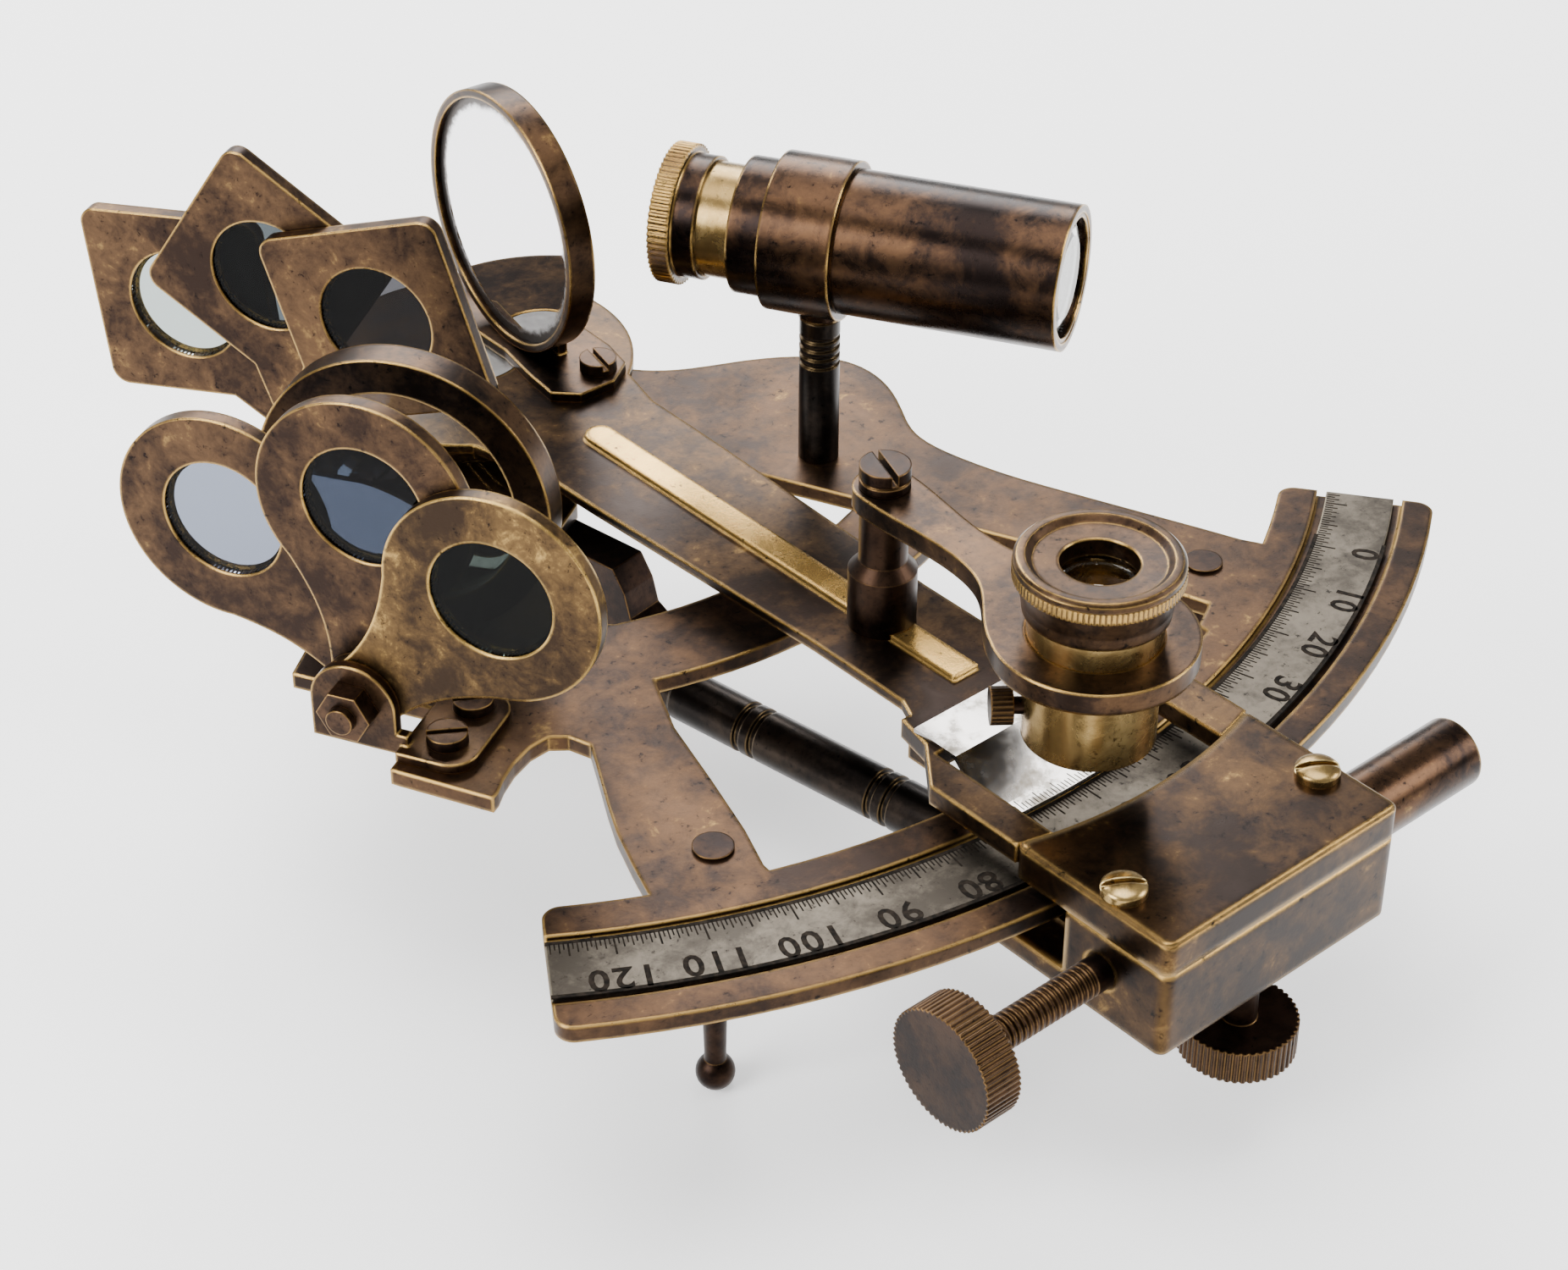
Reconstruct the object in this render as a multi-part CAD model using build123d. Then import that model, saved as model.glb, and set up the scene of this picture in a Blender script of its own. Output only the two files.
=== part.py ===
"""Brass nautical sextant: frame, index arm with tangent-screw box, mirrors, shades, telescope and reader.

Millimetres.  The index-arm pivot is the Z axis; the tip of the foot under it is the origin, so Z = 0 is
the resting plane.  The limb lies towards -Y, the zero end of its scale towards +X.
"""
import os
from math import cos, radians, sin, sqrt
from build123d import *

os.makedirs("parts", exist_ok=True)

# ---- overall sizes -------------------------------------------------------------------------------
limb_radius = 150.0            # outer edge of the graduated limb
foot_height = 42.3             # resting plane to the limb's top face
plate_thick = 2.5              # frame plate
limb_inner_radius = 126.8
scale_start = -12.7            # scale readings at the two ends of the limb
scale_end = 127.5
zero_angle = -61.25            # direction of the zero mark; one degree of arc reads as two
arm_angle = -91.5              # direction of the index arm at rest
run_fit = 0.05                 # radial clearance of a turning or sliding fit
gap = 0.3                      # clearance between faces that pass each other
screw_pitch = 1.0              # tangent screw: one millimetre of travel a turn

top = foot_height              # height of the limb's top face


def polar(radius, angle):
    return (radius * cos(radians(angle)), radius * sin(radians(angle)))


def scale_angle(reading):
    return zero_angle - reading / 2


def on_line(angle, along, across=0.0):
    """Point at a distance along a direction from the pivot and across it to the left."""
    x, y = polar(along, angle)
    return (x - across * sin(radians(angle)), y + across * cos(radians(angle)))


def plate(points, bottom, thick):
    """Flat plate of any outline, standing on a height."""
    with BuildSketch(Plane.XY.offset(bottom)) as sk:
        with BuildLine():
            Polyline(*points, close=True)
        make_face()
    return extrude(sk.sketch, thick)


def disc(x, y, bottom, radius, high):
    return Pos(x, y, bottom) * Cylinder(radius, high, align=(Align.CENTER, Align.CENTER, Align.MIN))


def tube(x, y, bottom, outer, inner, high):
    return disc(x, y, bottom, outer, high) - disc(x, y, bottom - 1, inner, high + 2)


def box_at(x0, x1, y0, y1, z0, z1):
    return Pos((x0 + x1) / 2, (y0 + y1) / 2, (z0 + z1) / 2) * Box(x1 - x0, y1 - y0, z1 - z0)


def sector(inner, outer, angle_a, angle_b, bottom, thick):
    """Ring sector between two directions."""
    ring = tube(0, 0, bottom, outer, inner, thick)
    reach = outer * 1.6
    points = [(0, 0)]
    for i in range(9):
        points.append(polar(reach, angle_a + (angle_b - angle_a) * i / 8))
    return ring & plate(points, bottom - 1, thick + 2)


def lathe(profile):
    """Solid of revolution about Z from (radius, height) points."""
    with BuildSketch(Plane.XZ) as sk:
        with BuildLine():
            Polyline(*profile, close=True)
        make_face()
    return revolve(sk.sketch, Axis.Z)


def slotted(x, y, seat, head_radius, head_high, shank_radius, shank_long, turn=0.0):
    """Cheese-head screw whose head stands on a seat height, slot turned by an angle."""
    head = disc(x, y, seat, head_radius, head_high)
    slot = Pos(x, y, seat + head_high) * Rot(0, 0, turn) * Box(3 * head_radius, 0.9, head_high)
    return head - slot + disc(x, y, seat - shank_long, shank_radius, shank_long + 0.2)


def knurled(radius, thick, teeth, depth=0.35):
    """Disc from Z = 0 upwards with straight knurling round its rim."""
    body = Cylinder(radius, thick, align=(Align.CENTER, Align.CENTER, Align.MIN))
    cutter = Pos(radius + 0.05, 0, 0) * Rot(0, 0, 45) * Box(depth * 1.6, depth * 1.6, thick * 3)
    cuts = []
    for i in range(teeth):
        cuts.append(Rot(0, 0, i * 360 / teeth) * cutter)
    return body - cuts


def lying(shape, azimuth, x, y, z):
    """Turn a shape built along +Z so that it points along a level direction."""
    return Pos(x, y, z) * Rot(0, 0, azimuth) * Rot(0, 90, 0) * shape


def save(name, shape):
    solids = shape if isinstance(shape, list) else [shape]
    whole = []
    for item in solids:
        whole.extend(item.solids())
    out = Compound(children=whole) if len(whole) > 1 else whole[0]
    out.label = name
    export_step(out, "parts/" + name + ".step")
    print(name, len(whole), "solid", round(sum(s.volume for s in whole), 1), "mm3")


# ---- frame plate ---------------------------------------------------------------------------------
plate_low = top - plate_thick
limb_a = scale_angle(scale_end)
limb_b = scale_angle(scale_start)
crossbar_inner = 67.7
crossbar_outer = 82.2
hub_radius = 25.2
groove_inner = 132.5
strip_inner = 133.9
strip_outer = 144.0
groove_outer = 145.3
recess_depth = 1.0
foot_spread = 120.0                        # radius of the two limb feet
foot_angles = (-66.0, -113.7)
pin_radius = 5.0

frame = sector(limb_inner_radius, limb_radius, limb_a, limb_b, plate_low, plate_thick)
frame += disc(0, 0, plate_low, hub_radius, plate_thick)
frame += sector(crossbar_inner, crossbar_outer, -113.0, -66.0, plate_low, plate_thick)

ends = []
for edge in frame.edges().filter_by(Axis.Z):
    spot = edge.center()
    radius = sqrt(spot.X ** 2 + spot.Y ** 2)
    if radius > limb_radius - 1 or (abs(radius - limb_inner_radius) < 1 and spot.X * spot.X > 60 ** 2):
        ends.append(edge)
frame = fillet(ends, 2.6)

# right-hand limb of the frame, with the swelling that carries the telescope post
wing_outer = [(22.0, -11.0), (27.6, -16.6), (36.6, -21.4), (44.4, -26.5), (49.3, -33.0), (50.0, -38.0),
              (48.6, -44.0), (45.2, -50.4), (42.6, -55.6), (42.1, -60.4), (42.9, -66.4), (44.6, -73.5),
              (47.4, -81.7), (52.2, -94.6), (57.6, -109.3)]
with BuildSketch(Plane.XY.offset(plate_low)) as wing_sketch:
    with BuildLine():
        Spline(*wing_outer)
        Polyline(wing_outer[-1], polar(128.5, -62.2), polar(128.5, -73.5), (36.6, -119.6), (41.9, -117.0),
                 (33.0, -86.5), (22.6, -61.2), (17.1, -48.2), (6.0, -23.0), (0.0, 0.0), wing_outer[0])
    make_face()
frame += extrude(wing_sketch.sketch, plate_thick)

# left-hand side: stem from the hub, platform for the shades and horizon glass, leg to the limb
left_side = [(-25.0, -3.0), (-34.0, -9.0), (-45.0, -21.0), (-58.0, -35.6), (-66.1, -41.2), (-56.2, -61.6),
             (-69.3, -67.9), (-68.8, -69.2), (-63.0, -82.2), (-61.6, -81.6), (-59.4, -80.0), (-56.1, -78.2),
             (-52.2, -76.9), (-48.9, -76.8), (-46.8, -78.6), (-45.8, -82.0), (-48.0, -85.8), (-52.6, -93.6),
             (-55.4, -98.7), (-58.2, -105.1), (-60.5, -110.9), polar(128.5, -118.2), polar(128.5, -111.0),
             (-45.7, -117.0), (-42.6, -109.9), (-38.7, -98.8), (-34.8, -87.0), (-29.4, -76.4),
             (-24.0, -64.0), (-26.4, -61.5), (-27.0, -57.0), (-22.0, -47.0), (-15.5, -39.0), (-9.0, -35.5),
             (-6.0, -24.0), (0.0, 0.0)]
frame += plate(left_side, plate_low, plate_thick)

frame -= sector(groove_inner, groove_outer, limb_a - 2, limb_b + 2, top - recess_depth, recess_depth + 1)
frame -= disc(0, 0, plate_low - 1, pin_radius + run_fit, plate_thick + 2)

# ---- graduated strip let into the limb ------------------------------------------------------------
strip = sector(strip_inner, strip_outer, limb_a + 0.02, limb_b - 0.02, top - recess_depth, recess_depth)

# ---- feet ----------------------------------------------------------------------------------------
ball_radius = 2.8
foot_tip_flat = 1.0
foot_root_radius = 2.45
foot_neck_radius = 1.55
rivet_radius = 1.6
rivet_head_radius = 2.85
ball_drop = sqrt(ball_radius ** 2 - foot_tip_flat ** 2)


def foot(x, y):
    """Turned foot: tapered neck on a ball with a small flat, riveted through the plate."""
    root = plate_low
    neck = lathe([(0, ball_drop), (foot_neck_radius, ball_drop), (foot_neck_radius, ball_drop + 4.0),
                  (foot_root_radius, root), (0, root)])
    ball = Pos(0, 0, ball_drop) * Sphere(ball_radius)
    ball -= box_at(-9, 9, -9, 9, -9, 0)
    pin = disc(0, 0, root - 0.5, rivet_radius, plate_thick + 0.7)
    head = disc(0, 0, top, rivet_head_radius, 0.5)
    return Pos(x, y, 0) * (neck + ball + pin + head)


feet = []
for angle in foot_angles:
    fx, fy = polar(foot_spread, angle)
    feet.append(foot(fx, fy))
    frame -= disc(fx, fy, plate_low - 1, rivet_radius, plate_thick + 2)

# ---- index-arm pivot -----------------------------------------------------------------------------
arm_thick = 1.6
arm_low = top + 4.8
arm_top = arm_low + arm_thick
bearing_radius = 20.0
pin_head_radius = 7.0
pin_head_high = 0.7

bearing = tube(0, 0, top, bearing_radius, pin_radius + run_fit, arm_low - gap / 3 - top)
pin_head_low = arm_top - 0.1 - pin_head_high
pivot_pin = disc(0, 0, plate_low - 4.0, pin_radius, arm_top - 0.2 + 4.0 - plate_low)
pivot_pin += disc(0, 0, pin_head_low, pin_head_radius, pin_head_high)
pivot_pin -= disc(0, 0, plate_low - 4.1, 2.0, 6.0)

hub_foot = lathe([(0, 0), (foot_tip_flat, 0), (2.2, 1.0), (2.8, ball_drop), (2.2, 4.4), (foot_neck_radius, 5.2),
                  (foot_neck_radius, 9.0), (2.6, plate_low - 5.0), (9.0, plate_low - 4.0),
                  (9.0, plate_low), (pin_radius, plate_low), (pin_radius, plate_low - 4.0),
                  (2.0, plate_low - 4.0), (2.0, plate_low - 0.5), (0, plate_low - 0.5)])

# ---- index arm with its end frame ------------------------------------------------------------------
arm_hub_radius = 25.0
arm_end = 116.5
end_frame_low = top + 3.4
window_half = 15.2
end_frame_half = 21.8
carriage_shift = 1.3           # box set over towards the barrel side of the arm's centre line
cover_arc_radius = 73.8        # hollow inner edge of the box cover
cover_arc_centre = 71.7
end_frame_out = 146.0
cover_in = 142.0

arm_outline = [(20.0, 15.0), (28.5, 12.8), (45.0, 12.4), (70.0, 11.4), (92.0, 10.6), (110.0, 10.6),
               (arm_end, 13.5), (arm_end, -13.5), (110.0, -10.6), (92.0, -10.6), (70.0, -11.4),
               (45.0, -12.4), (28.5, -12.8), (20.0, -15.0)]
arm = disc(0, 0, arm_low, arm_hub_radius, arm_thick)
arm += plate(arm_outline, arm_low, arm_thick)
frame_right = end_frame_half + carriage_shift
frame_left = -end_frame_half + carriage_shift
end_outline = [(113.0, 13.5), (119.0, 16.6), (126.0, frame_right), (end_frame_out, frame_right),
               (end_frame_out, frame_left), (126.0, frame_left), (119.0, -14.8), (113.0, -13.5)]
end_frame = plate(end_outline, end_frame_low, arm_top - end_frame_low)
end_frame &= disc(cover_arc_centre, carriage_shift, top, cover_arc_radius - 0.02, 20)
arm += end_frame
arm -= box_at(121.5, 170.0, -window_half, window_half + carriage_shift, top, arm_top + 5)
arm += box_at(114.5, 118.5, -13.5, 13.5, top + 0.8, arm_top - 0.2)
rib_half = 2.25
rib_high = 0.8
rib_start = 31.5
rib_end = 111.5
arm += box_at(rib_start, rib_end, -rib_half, rib_half, arm_top - 0.2, arm_top + rib_high)
arm += disc(rib_start, 0, arm_top - 0.2, rib_half, rib_high + 0.2)
arm -= disc(0, 0, top, pin_radius + run_fit, 20)
arm -= disc(0, 0, pin_head_low - 0.1, pin_head_radius + gap, 20)

# ---- vernier ---------------------------------------------------------------------------------------
vernier_thick = 0.7
vernier_half = 14.2
vernier_start = 116.2
bend_at = 124.0
profile = [(vernier_start, arm_top), (bend_at, arm_top), (130.4, top + 0.35), (133.7, top + 0.35),
           (133.7, top + 0.35 + vernier_thick), (130.7, top + 0.35 + vernier_thick),
           (bend_at + 0.3, arm_top + vernier_thick), (vernier_start, arm_top + vernier_thick)]
with BuildSketch(Plane.XZ.offset(-vernier_half)) as vernier_sketch:
    with BuildLine():
        Polyline(*profile, close=True)
    make_face()
vernier = extrude(vernier_sketch.sketch, 2 * vernier_half)
vernier &= disc(0, 0, top - 5, 133.7, 20)
vernier_rivets = []
for across in (-9.0, 9.0):
    rivet = disc(118.9, across, arm_top - 2.6, 0.9, 3.0)
    vernier_rivets.append(rivet)
    arm -= rivet
    vernier -= rivet

# ---- tangent-screw box -----------------------------------------------------------------------------
box_in = 138.5
slot_end = 151.6
box_out = 169.4
box_half = end_frame_half
box_low = top - 12.1
jaw_top = box_low + 3.6
cover_low = top + 1.4
cover_top = arm_top + 0.1
screw_along = 158.2            # tangent screw line, measured out from the pivot
screw_level = top - 4.5
screw_radius = 2.45
cavity_half = 15.0
cavity_in = 143.6
cavity_out = 166.4
cavity_low = box_low + 2.4
travel = 3.5                   # room for slow-motion travel each way

box = box_at(box_in, box_out, -box_half, box_half, box_low, cover_low)
box = fillet(box.edges().filter_by(Axis.Z), 1.4)
box = fillet(box.faces().sort_by(Axis.Z)[0].edges(), 0.6)
box -= box_at(box_in - 5, slot_end, -box_half - 5, box_half + 5, jaw_top, cover_low + 5)
box -= box_at(cavity_in, cavity_out, -cavity_half, cavity_half, cavity_low, cover_low + 5)

clamp_radius = 1.6
shoulder_radius = 2.4
clamp_line = 163.9             # clamp screw, measured out from the pivot
clamp_slot_end = cavity_out
box -= box_at(clamp_line - shoulder_radius - gap, clamp_slot_end, -travel - shoulder_radius - gap,
              travel + shoulder_radius + gap, box_low - 1, cavity_low + 1)
barrel_bore = 3.6
screw_hole = Pos(screw_along, 0, screw_level) * Rot(90, 0, 0)
box -= screw_hole * Pos(0, 0, box_half) * Cylinder(screw_radius + run_fit, 30)
box -= screw_hole * Pos(0, 0, -box_half) * Cylinder(barrel_bore, 30)

cover = box_at(cover_in, box_out, -box_half, box_half, cover_low, cover_top)
cover = fillet(cover.edges().filter_by(Axis.Z), 1.4)
cover = fillet(cover.faces().sort_by(Axis.Z)[-1].edges(), 0.5)
cover -= disc(cover_arc_centre, 0, top, cover_arc_radius, 20)
cover_screw_across = 18.3
cover_screw_along = 158.0
cover_screws = []
for across in (-cover_screw_across, cover_screw_across):
    head = disc(cover_screw_along, across, cover_top, 3.1, 1.0)
    head += Pos(cover_screw_along, across, cover_top + 1.0) * scale(Sphere(3.1), (1, 1, 0.35))
    head -= Pos(cover_screw_along, across, cover_top + 1.7) * Rot(0, 0, 55) * Box(9, 1.0, 1.6)
    head -= box_at(150, 170, -40, 40, cover_top - 5, cover_top)
    cover_screws.append(head + disc(cover_screw_along, across, cover_low - 1.9, 1.45, cover_top - cover_low + 2.1))
    cover -= disc(cover_screw_along, across, top, 1.45, 20)
    box -= disc(cover_screw_along, across, cover_low - 1.9, 1.45, 20)

# sliding clamp block with its split jaws round the limb
block_half = 9.0
block_in = cavity_in + gap
block_out = cavity_out - gap
block_low = cavity_low + gap
block_top = cover_low - gap
block = box_at(block_in, block_out, -block_half, block_half, block_low, block_top)
block -= box_at(block_in - 2, limb_radius + 0.6, -40, 40, plate_low - 0.35, top + 0.35)
block -= box_at(limb_radius, 165.0, -40, 40, top - 1.75, top - 1.05)
block -= screw_hole * Cylinder(screw_radius + run_fit, 60)
block -= disc(clamp_line, 0, box_low, clamp_radius + run_fit, 40)

plunger_radius = barrel_bore - run_fit
barrel_radius = 5.2
barrel_end = 47.6
barrel_floor = 46.0
plunger_head = 24.0


def along_screw(shape, across):
    """Put a shape built along +Z on the tangent-screw line, pointing to the barrel side."""
    return Pos(screw_along, across, screw_level) * Rot(-90, 0, 0) * shape


def rod(radius, long):
    return Cylinder(radius, long, align=(Align.CENTER, Align.CENTER, Align.MIN))


plunger = along_screw(rod(2.0, 9.2), block_half)
plunger += along_screw(rod(plunger_radius, plunger_head - block_half - 9.0), block_half + 9.0)
barrel = along_screw(rod(barrel_radius, barrel_end - box_half), box_half)
barrel -= along_screw(rod(barrel_bore, barrel_floor - box_half + 1), box_half - 1)

spring_wire = 0.4
spring_coil = 2.7
spring_from = plunger_head + travel + gap
spring_long = barrel_floor - spring_from - 2 * spring_wire
spring_path = Helix(pitch=1.9, height=spring_long, radius=spring_coil)
with BuildSketch(Plane(origin=spring_path @ 0, z_dir=spring_path % 0)) as wire_sketch:
    Circle(spring_wire)
spring = sweep(wire_sketch.sketch, path=spring_path)
spring = along_screw(spring, spring_from + spring_wire)

# tangent screw: knurled head, threaded shank, journal in the box wall
knob_radius = 8.6
knob_face = -50.0
knob_thick = 5.6
tangent = along_screw(knurled(knob_radius, knob_thick, 60), knob_face)
screw_tip = block_half - travel - 0.5
tangent += along_screw(rod(screw_radius, screw_tip - knob_face - knob_thick + 0.2), knob_face + knob_thick - 0.2)
tangent += along_screw(rod(3.3, 1.2), -cavity_half + gap)
groove_count = 19
thread_depth = 0.55
for i in range(groove_count):
    at = knob_face + knob_thick + 1.2 + i * screw_pitch
    groove = lathe([(screw_radius + 0.2, 0.0), (screw_radius - thread_depth, screw_pitch * 0.42),
                    (screw_radius + 0.2, screw_pitch * 0.84)])
    tangent -= along_screw(groove, at)

clamp_knob_low = top - 26.0
clamp_knob_thick = 5.0
clamp = Pos(clamp_line, 0, clamp_knob_low) * knurled(8.1, clamp_knob_thick, 48)
clamp += disc(clamp_line, 0, clamp_knob_low + clamp_knob_thick - 0.2, shoulder_radius,
              block_low - 0.1 - clamp_knob_low - clamp_knob_thick + 0.2)
clamp += disc(clamp_line, 0, block_low - 1.0, clamp_radius, block_top - 0.2 - block_low + 1.0)

# ---- reader (magnifier) on the arm -------------------------------------------------------------------
post_along = 94.35
post_radius = 4.9
neck_radius = 3.45
reader_low = top + 25.9
reader_thick = 3.2
reader_reach = 42.9            # pivot screw to lens axis
reader_turn = -3.7             # direction of the reader arm against the index arm at rest
reader_screw_radius = 1.9

post = lathe([(0, arm_top), (post_radius, arm_top), (post_radius, top + 15.5), (neck_radius, top + 17.2),
              (neck_radius, reader_low), (0, reader_low)])
post -= box_at(-10, 10, -rib_half - run_fit, rib_half + run_fit, top, arm_top + rib_high + run_fit)
post += disc(0, 0, arm_low, 2.0, 4.0)
post -= disc(0, 0, top + 14.0, reader_screw_radius, 30)
post = Pos(post_along, 0, 0) * post
arm -= disc(post_along, 0, top, 2.0, 20)

reader_screw = slotted(0, 0, reader_low + reader_thick + 0.1, 3.6, 3.4, reader_screw_radius, 15.0, -20)
reader_screw -= tube(0, 0, reader_low + reader_thick + 1.3, 9.0, 3.3, 0.4)
reader_screw = Pos(post_along, 0, 0) * reader_screw

lens_tube_radius = 8.95
reader_ring_radius = 13.8
reader_side = [(0, 4.5), (8, 4.0), (18, 3.3), (25, 4.6), (31, 8.8), (36.5, 12.2)]
with BuildSketch(Plane.XY.offset(reader_low + 0.1)) as reader_sketch:
    with BuildLine():
        Spline(*reader_side)
        Polyline(reader_side[-1], (reader_reach, 12.5), (reader_reach, -12.5), (reader_side[-1][0], -reader_side[-1][1]))
        Spline(*[(x, -y) for x, y in reversed(reader_side)])
        Line((0, -4.5), (0, 4.5))
    make_face()
reader_arm = disc(0, 0, reader_low + 0.1, 4.5, reader_thick - 0.1)
reader_arm += extrude(reader_sketch.sketch, reader_thick - 0.1)
reader_arm += disc(reader_reach, 0, reader_low + 0.1, reader_ring_radius, reader_thick - 0.1)
reader_arm += disc(reader_reach, 0, reader_low - 2.2, 10.6, 2.4)
reader_arm -= disc(reader_reach, 0, top, lens_tube_radius + run_fit, 60)
reader_arm -= disc(0, 0, top, reader_screw_radius + run_fit, 60)

lens_low = top + 13.2
head_low = top + 33.0
head_mid = top + 36.4
head_top = top + 41.0
lens_tube = tube(reader_reach, 0, lens_low, lens_tube_radius, 7.9, head_low + 1.0 - lens_low)
eyepiece = Pos(reader_reach, 0, head_top - 3.0) * knurled(11.2, 1.6, 100, 0.22)
eyepiece += Pos(reader_reach, 0, 0) * lathe([(0, head_low), (9.7, head_low), (9.9, head_mid - 1.6),
                                             (10.7, head_top - 3.0), (10.7, head_top - 1.4), (11.1, head_top - 1.4),
                                             (11.1, head_top - 0.5), (10.6, head_top), (9.6, head_top),
                                             (8.6, head_top - 0.8), (0, head_top - 1.2)])
eyepiece -= disc(reader_reach, 0, head_low - 1, lens_tube_radius, 2.0)
eyepiece -= disc(reader_reach, 0, head_low, 7.6, head_mid + 1.0 - head_low)
eyepiece -= disc(reader_reach, 0, head_low, 5.2, 20)
reader_lens = Pos(reader_reach, 0, head_low + 1.8) * scale(Sphere(7.6), (1, 1, 0.22))
reader_lens += disc(reader_reach, 0, head_low + 1.1, 7.6, 1.4)
reader_lens &= disc(reader_reach, 0, head_low, 7.6, 10)
set_screw = lying(rod(1.2, 4.0) + Pos(0, 0, 2.2) * knurled(2.6, 3.0, 24, 0.2), 140.0, 0, 0, top + 17.6)
set_screw = Pos(reader_reach, 0, 0) * Rot(0, 0, -arm_angle - reader_turn) * Pos(*polar(8.0, 140.0)) * set_screw
lens_tube -= Pos(reader_reach, 0, 0) * Rot(0, 0, -arm_angle - reader_turn) * lying(
    rod(1.2, 4.0), 140.0, *polar(6.0, 140.0), top + 17.6)

reader_place = Pos(post_along, 0, 0) * Rot(0, 0, reader_turn)
reader_arm = reader_place * reader_arm
lens_tube = reader_place * lens_tube
eyepiece = reader_place * eyepiece
reader_lens = reader_place * reader_lens
set_screw = reader_place * set_screw

# ---- index glass on the hub (built in frame axes) ------------------------------------------------------
glass_facing = 171.7
glass_offset = 6.2             # reflecting plane behind the pivot axis
glass_radius = 19.6
glass_thick = 3.0
rim_wall = 1.3
rim_depth = 4.4
base_thick = 1.7
glass_level = arm_top + base_thick + glass_radius + rim_wall


def facing(shape, azimuth, offset, across, level):
    """Put a shape built along +Z on a vertical plane facing a direction."""
    x = offset * cos(radians(azimuth)) - across * sin(radians(azimuth))
    y = offset * sin(radians(azimuth)) + across * cos(radians(azimuth))
    return Pos(x, y, level) * Rot(0, 0, azimuth) * Rot(0, 90, 0) * Rot(0, 0, 90) * shape


index_across = 0.7
index_rim = Pos(0, 0, -rim_depth + 1.0) * rod(glass_radius + rim_wall, rim_depth)
index_rim -= Pos(0, 0, -glass_thick) * rod(glass_radius, rim_depth + 2)
index_rim -= Pos(0, 0, -rim_depth) * rod(glass_radius - 2.0, rim_depth + 2)
index_rim = facing(index_rim, glass_facing, -glass_offset, index_across, glass_level)
index_glass = facing(Pos(0, 0, -glass_thick) * rod(glass_radius, glass_thick), glass_facing, -glass_offset,
                     index_across, glass_level)
mirror_base = plate([(3.6, 9.5), (11.5, 20.5), (16.8, 17.0), (17.5, 6.0), (16.0, -14.0), (14.5, -19.6), (9.8, -22.4),
                     (3.4, -22.0), (0.2, -18.6), (1.2, -12.0), (3.0, -4.0)], arm_top, base_thick)
upright = box_at(-9, 9, 0, 17.0, 0, 1.6)
upright = facing(upright, glass_facing, -glass_offset - rim_depth + 1.0 - 1.6, index_across,
                 arm_top + base_thick - 0.3)
mirror_base += upright
base_screws = []
for bx, by in ((10.3, -18.0), (14.0, 15.0)):
    base_screws.append(slotted(bx, by, arm_top + base_thick, 2.9, 2.0, 1.3, base_thick + arm_thick, 75))
    mirror_base -= disc(bx, by, top, 1.3, 20)
arm_world = Rot(0, 0, arm_angle) * arm
for bx, by in ((10.3, -18.0), (14.0, 15.0)):
    arm_world -= disc(bx, by, top, 1.3, 20)

# ---- horizon glass ---------------------------------------------------------------------------------
horizon_facing = -150.0
horizon_plane = 64.0
horizon_across = 15.2
ring_outer = 21.9
ring_bore = 16.7
ring_thick = 4.6
pad_thick = 2.0
horizon_level = top + pad_thick + ring_outer - 0.6
seat_radius = 18.2
pane_thick = 2.0
horizon_ring = Pos(0, 0, -ring_thick) * rod(ring_outer, ring_thick)
horizon_ring -= Pos(0, 0, -ring_thick - 1) * rod(ring_bore, ring_thick + 2)
horizon_ring -= Pos(0, 0, -ring_thick - 1) * rod(seat_radius, ring_thick - 0.9)
horizon_ring = facing(horizon_ring, horizon_facing, horizon_plane, horizon_across, horizon_level)
pane = Pos(0, 0, -1.9 - pane_thick) * rod(seat_radius, pane_thick)
clear_pane = facing(pane & box_at(-30, 30, 0, 30, -9, 9), horizon_facing, horizon_plane, horizon_across,
                    horizon_level)
silver_pane = facing(pane & box_at(-30, 30, -30, 0, -9, 9), horizon_facing, horizon_plane, horizon_across,
                     horizon_level)
spring_ring = Pos(0, 0, -ring_thick + 0.1) * rod(seat_radius, ring_thick - 1.9 - pane_thick - 0.1)
spring_ring -= Pos(0, 0, -ring_thick) * rod(seat_radius - 1.3, ring_thick)
spring_ring = facing(spring_ring, horizon_facing, horizon_plane, horizon_across, horizon_level)


def level_point(azimuth, offset, across):
    return (offset * cos(radians(azimuth)) - across * sin(radians(azimuth)),
            offset * sin(radians(azimuth)) + across * cos(radians(azimuth)))


def level_box(azimuth, d0, d1, h0, h1, z0, z1):
    """Block given by distances along a direction (d), across it (h) and heights."""
    return Rot(0, 0, azimuth) * box_at(d0, d1, h0, h1, z0, z1)


horizon_pad = level_box(horizon_facing, horizon_plane - 15.0, horizon_plane + 1.2, horizon_across - 9.5,
                        horizon_across + 9.5, top, top + pad_thick)
saddle = level_box(horizon_facing, horizon_plane - ring_thick - 1.6, horizon_plane - ring_thick,
                   horizon_across - 8.0, horizon_across + 8.0, top + pad_thick - 0.2, top + pad_thick + 4.5)
cradle = facing(Pos(0, 0, -30) * rod(ring_outer, 60), horizon_facing, horizon_plane, horizon_across, horizon_level)
horizon_pad -= cradle
horizon_pad += saddle - facing(Pos(0, 0, -30) * rod(ring_bore + 1.6, 60), horizon_facing, horizon_plane,
                               horizon_across, horizon_level)
pad_screws = []
for across in (-6.0, 6.0):
    sx, sy = level_point(horizon_facing, horizon_plane - 10.6, horizon_across + across)
    pad_screws.append(slotted(sx, sy, top + pad_thick, 2.9, 1.8, 1.3, pad_thick + plate_thick - 0.3, 40))
    horizon_pad -= disc(sx, sy, top - 1, 1.3, 20)
    frame -= disc(sx, sy, plate_low - 1, 1.3, 20)

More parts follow.
